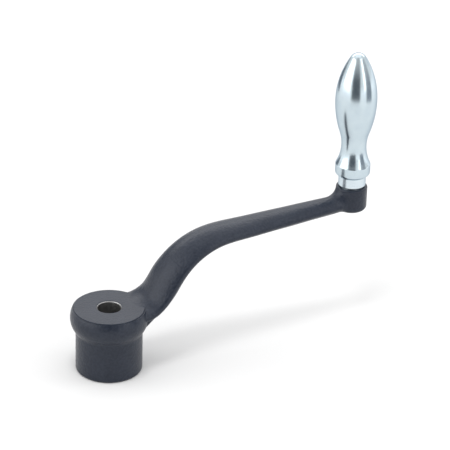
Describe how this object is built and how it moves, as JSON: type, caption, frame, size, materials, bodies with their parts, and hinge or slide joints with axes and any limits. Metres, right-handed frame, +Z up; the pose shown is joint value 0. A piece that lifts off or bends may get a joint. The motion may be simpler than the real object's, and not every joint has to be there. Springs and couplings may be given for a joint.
{
  "type": "crank handle",
  "caption": "Cast crank lever with a plain bored hub, a cranked oval arm and a turned grip that spins on a fixed spindle.",
  "frame": {"origin": "on the shaft bore's axis, at the hub's lower face", "axes": "+Z up the shaft bore to the side that the grip stands on, +X from the hub to the grip"},
  "size_m": [0.1955, 0.046, 0.1743],
  "materials": {
    "coated_iron": "fine-textured dark grey coating over cast iron, with bare chamfers at the bore",
    "plated_steel": "turned steel, zinc plated",
    "spring_steel": "flat spring steel, plain",
    "plated_grip": "turned and polished steel, zinc plated"
  },
  "bodies": {
    "crank": {"crank_arm": "coated_iron", "spindle": "plated_steel", "snap_ring": "spring_steel"},
    "grip": {"grip": "plated_grip"}
  },
  "joints": [
    {"name": "grip_spin", "type": "hinge", "parent": "crank", "child": "grip", "pos_m": [0.16, 0, 0.0955], "axis": [0, 0, 1], "continuous": true}
  ]
}
